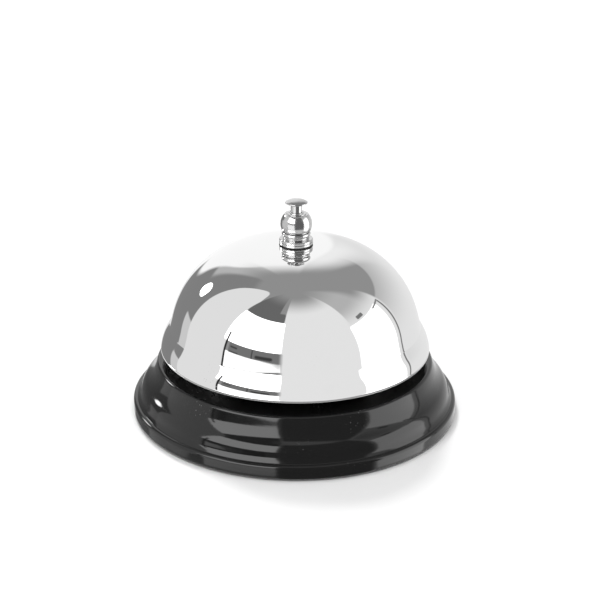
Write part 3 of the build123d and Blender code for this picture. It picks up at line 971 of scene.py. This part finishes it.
# Studio panels as seen from the bell: name, left and right azimuth, low and high elevation in
# degrees (0 is in front of the bell, positive to its right), corner, softness, brightness,
# and the elevations between which a panel fades out, if it does.
PANELS = [
    ("high haze", 56, 100, 30, 95, 10, 16, 0.5, (60, 88)),
    ("far right haze", 155, 190, -90, 60, 6, 8, 0.5, (36, 56)),
    ("right wall", 100, 190, -90, 33, 1, 2, 0.86, (-8, 62)),
    ("backdrop haze", -190, -138, 16, 66, 12, 10, 0.52, (40, 64)),
    ("left wall", -160, -108, -90, 24, 4, 4, 0.24, None),
    ("left wall top", -138, -108, 20, 64, 6, 6, 0.24, None),
    ("backdrop spill", -199, -160, 14, 62, 12, 22, 0.96, (34, 64)),
    ("backdrop", -184, -161, -90, 70, 3, 4, 1.06, (34, 66)),
    ("backdrop swell", -184, -148, 0, 48, 13, 4, 1.06, (34, 66)),
    ("rear ground", -200, -160, -90, -13, 2, 3, 0.85, None),
    ("low sheet", -125, -100, -30, 3, 2, 2, 0.66, None),
    ("small lamp", -131, -122, 17.5, 28, 4, 2, 14.0, None),
    ("tall card", -113, -66, -30, 73, 22, 1.2, 0.84, None),
    ("centre sheet", -14, 62, -30, 84, 4, 2, 0.88, (58, 82)),
    ("right shelf", 60, 112, -30, 56, 3, 3, 0.85, (32, 54)),
    ("ground", -200, 200, -100, -32, 4, 12, 0.85, None),
    ("right ground", 60, 104, -100, -24, 4, 10, 1.4, None),
    ("dim centre", -12, 58, -100, 60, 4, 6, 0.18, None),
    ("top flag", -69.5, -24, 47, 95, 6, 2, 0.15, (66, 84)),
    ("top flag edge", -40, -14, 49, 60, 3, 2, 0.15, None),
    ("front window", -69.5, -12.5, 15, 49.5, 2, 1.2, 3.5, None),
    ("window foot", -66, -12.5, -30, 5, 1, 1, 1.4, None),
    ("right window", 60, 104, -30, 33, 2, 2, 2.3, None),
    ("low flag", -62, -10.5, 4.5, 14.5, 1, 0.8, 0.19, None),
    ("low flag core", -36, -20, 5.5, 9, 1.7, 2, 0.05, None),
    ("low flag post", -39.5, -38.3, 4.5, 14.5, 0.3, 0.6, 0.08, None),
    ("low flag spot", -60.5, -53.5, 9.6, 11.4, 0.8, 1.2, 0.07, None),
    ("low flag edge", -61, -52, 5, 6.2, 0.5, 0.8, 0.09, None),
    ("window post", -66.5, -64.5, -20, 24, 0.6, 0.8, 0.03, None),
    ("small mark", 73.5, 83, 35.3, 38.8, 1, 0.8, 0.2, None),
    ("lamp stand", 108.7, 110.5, -14, 31, 0.6, 0.8, 0.2, None),
    ("lamp arm", 97, 110.5, 31, 32.6, 0.6, 0.8, 0.25, None),
]
# The sheet in front, seen by the bell's chrome only: the enamel hardly shows it.
CHROME_CARD = [("centre card", -12, 58, -100, 60, 4, 6, 0.7, None)]
CHROME_PIECES = ("bell_shell",)
CARD_REACH = 1000.0       # metres, so far off that the pieces see it like the room
ROOM_GREY = 0.31
CAMERA_SPOT = (0.0, -0.33928, 0.1689)
CAMERA_YAW = 0.0034
CAMERA_ROLL = 0.0108


def lit_panels(board, way, panels, level):
    """Brightness by direction: each panel is a rounded box in azimuth and elevation."""
    x, y, z = way
    degrees = 180.0 / math.pi
    toward = board.maths("MULTIPLY", y, -1.0)
    azimuth = board.maths("MULTIPLY", board.maths("ARCTAN2", x, toward), degrees)
    behind = board.maths("SUBTRACT", azimuth, board.maths(
        "MULTIPLY", board.maths("GREATER_THAN", azimuth, 150.0), 360.0))
    elevation = board.maths("MULTIPLY", board.maths("ARCSINE", z), degrees)
    for _, left, right, low, high, corner, soft, brightness, fade in panels:
        spot = board.add("ShaderNodeCombineXYZ")
        board.feed(spot.inputs[0], behind if left < -180 else azimuth)
        board.feed(spot.inputs[1], elevation)
        centre = ((left + right) / 2, (low + high) / 2, 0.0)
        half = ((right - left) / 2 - corner, (high - low) / 2 - corner, 0.0)
        away = board.vectors("ABSOLUTE", board.vectors("SUBTRACT", spot.outputs[0], centre))
        past = board.vectors("MAXIMUM", board.vectors("SUBTRACT", away, half), (0.0, 0.0, 0.0))
        reach = board.vectors("LENGTH", past)
        mask = board.ranged(reach, corner - soft / 2, corner + soft / 2, 1.0, 0.0)
        if fade:
            mask = board.maths("MULTIPLY", mask, board.ranged(elevation, *fade, 1.0, 0.0))
        level = board.between(mask, level, brightness)
    return level


class BELL_OT_stage(bpy.types.Operator):
    """Makes the floor, the soft studio light and the camera"""

    bl_idname = "service_bell.stage"
    bl_label = "Studio"

    def execute(self, context):
        sizes = context.scene.service_stage
        self.make_floor(sizes)
        self.make_room(context.scene, sizes)
        self.make_card(sizes)
        self.make_lamp("overhead", (0.0, 0.0, 1.0), 52.0, sizes.overhead)
        self.make_lamp("rear", (-0.2, 0.67, 0.82), 10.0, sizes.rear)
        self.make_camera(context.scene, sizes)
        context.scene.view_settings.view_transform = "Standard"
        return {"FINISHED"}

    def make_floor(self, sizes):
        """A round pale floor, flat and far wider than the view."""
        reach, segments = 12.0, 96
        turn = np.arange(segments) * (2 * math.pi / segments)
        points = np.column_stack([reach * np.cos(turn), reach * np.sin(turn), np.zeros(segments)])
        mesh = bpy.data.meshes.new("studio_floor")
        mesh.from_pydata(points.tolist(), [], [list(range(segments))])
        material = bpy.data.materials.new("studio_floor")
        material.use_nodes = True
        shader = material.node_tree.nodes["Principled BSDF"].inputs
        shader["Base Color"].default_value = tuple(sizes.floor) + (1.0,)
        shader["Roughness"].default_value = 0.9
        shader["Specular IOR Level"].default_value = 0.1
        mesh.materials.append(material)
        floor = bpy.data.objects.new("studio_floor", mesh)
        floor.visible_glossy = False
        bpy.context.scene.collection.objects.link(floor)

    def make_room(self, scene, sizes):
        """Room light by direction: a grey room with soft-edged panels, plain white to the camera."""
        world = bpy.data.worlds.new("studio_room")
        world.use_nodes = True
        world.node_tree.nodes.clear()
        scene.world = world
        board = Board(world.node_tree)
        way = board.add("ShaderNodeSeparateXYZ")
        board.feed(way.inputs[0], board.add("ShaderNodeTexCoord").outputs["Generated"])
        level = lit_panels(board, way.outputs, PANELS, ROOM_GREY)
        level = board.maths("MULTIPLY", level, sizes.room)
        path = board.add("ShaderNodeLightPath").outputs
        level = board.between(path["Is Diffuse Ray"], level, sizes.fill)
        light = board.add("ShaderNodeBackground")
        board.feed(light.inputs["Strength"], board.between(path["Is Camera Ray"], level, 1.0))
        board.feed(light.inputs["Color"], grey(1.0))
        ends = board.add("ShaderNodeOutputWorld")
        board.feed(ends.inputs["Surface"], light.outputs[0])

    def make_card(self, sizes):
        """A clear globe whose front glows, lighting only the chrome pieces."""
        turn = np.linspace(0.0, math.pi, 33)
        outline = CARD_REACH * np.column_stack([np.sin(turn), -np.cos(turn)])
        points, faces = domed(outline, 64)
        mesh = bpy.data.meshes.new("chrome_card")
        mesh.from_pydata(points.tolist(), [], [list(face) for face in faces])
        material = bpy.data.materials.new("chrome_card")
        material.use_nodes = True
        material.node_tree.nodes.clear()
        board = Board(material.node_tree)
        middle = board.vectors("NORMALIZE", board.add("ShaderNodeTexCoord").outputs["Object"])
        way = board.add("ShaderNodeSeparateXYZ")
        board.feed(way.inputs[0], middle)
        level = lit_panels(board, way.outputs, CHROME_CARD, 0.0)
        glow = board.add("ShaderNodeEmission")
        board.feed(glow.inputs["Strength"], board.maths("MULTIPLY", level, sizes.room))
        both = board.add("ShaderNodeAddShader")
        board.feed(both.inputs[0], board.add("ShaderNodeBsdfTransparent").outputs[0])
        board.feed(both.inputs[1], glow.outputs[0])
        ends = board.add("ShaderNodeOutputMaterial")
        board.feed(ends.inputs["Surface"], both.outputs[0])
        mesh.materials.append(material)
        card = bpy.data.objects.new("chrome_card", mesh)
        card.visible_camera = False
        card.visible_diffuse = False
        card.visible_shadow = False
        lit = bpy.data.collections.new("chrome_pieces")
        for name in CHROME_PIECES:
            lit.objects.link(bpy.data.objects[name])
        card.light_linking.receiver_collection = lit
        bpy.context.scene.collection.objects.link(card)

    def make_lamp(self, name, spot, spread, strength):
        """A far lamp that shines from the given spot, as wide in the sky as its spread in degrees.

        It lights the floor evenly, and doesn't show in the chrome or to the camera.
        """
        lamp = bpy.data.lights.new(name, "SUN")
        lamp.angle = math.radians(spread)
        lamp.energy = strength
        light = bpy.data.objects.new(name, lamp)
        light.location = spot
        light.rotation_euler = Vector(spot).to_track_quat("Z", "Y").to_euler()
        light.visible_glossy = False
        light.visible_camera = False
        bpy.context.scene.collection.objects.link(light)

    def make_camera(self, scene, sizes):
        """Camera in front, looking down at the bell, with a slight turn and roll."""
        camera = bpy.data.objects.new("camera", bpy.data.cameras.new("camera"))
        camera.data.lens = sizes.lens
        camera.data.sensor_width = 36.0
        camera.data.clip_start = 0.01
        pitch, yaw, roll = sizes.pitch, CAMERA_YAW, CAMERA_ROLL
        ahead = np.array([math.sin(yaw) * math.cos(pitch), math.cos(yaw) * math.cos(pitch),
                          -math.sin(pitch)])
        right = np.array([math.cos(yaw), -math.sin(yaw), 0.0])
        up = np.cross(right, ahead)
        side = right * math.cos(roll) + up * math.sin(roll)
        top = up * math.cos(roll) - right * math.sin(roll)
        turned = np.column_stack([side, top, -ahead]).tolist()
        camera.matrix_world = Matrix(
            [(*row, place) for row, place in zip(turned, CAMERA_SPOT)] + [(0.0, 0.0, 0.0, 1.0)])
        scene.collection.objects.link(camera)
        scene.camera = camera


class BELL_PT_panel(bpy.types.Panel):
    """Lists the pieces of the bell and their settings."""

    bl_idname = "BELL_PT_panel"
    bl_label = "Service bell"
    bl_space_type = "VIEW_3D"
    bl_region_type = "UI"
    bl_category = "Service bell"

    def draw(self, context):
        column = self.layout.column(align=True)
        for operator in OPERATORS:
            column.operator(operator.bl_idname)
        for group in SETTINGS:
            box = self.layout.box()
            for name in SETTINGS[group].__annotations__:
                box.prop(getattr(context.scene, group), name)


OPERATORS = [BELL_OT_base, BELL_OT_dome, BELL_OT_finial, BELL_OT_plunger, BELL_OT_post,
             BELL_OT_spring, BELL_OT_fixings, BELL_OT_stage]
SETTINGS = {
    "service_bell": BellProperties,
    "service_base": BaseProperties,
    "service_finial": FinialProperties,
    "service_stage": StageProperties,
}


def register():
    for group, kind in SETTINGS.items():
        bpy.utils.register_class(kind)
        setattr(bpy.types.Scene, group, PointerProperty(type=kind))
    for kind in OPERATORS + [BELL_PT_panel]:
        bpy.utils.register_class(kind)


def unregister():
    for kind in [BELL_PT_panel] + OPERATORS[::-1]:
        bpy.utils.unregister_class(kind)
    for group, kind in SETTINGS.items():
        delattr(bpy.types.Scene, group)
        bpy.utils.unregister_class(kind)


def main():
    register()
    for operator in OPERATORS:
        family, name = operator.bl_idname.split(".")
        getattr(getattr(bpy.ops, family), name)()


if __name__ == "__main__":
    main()
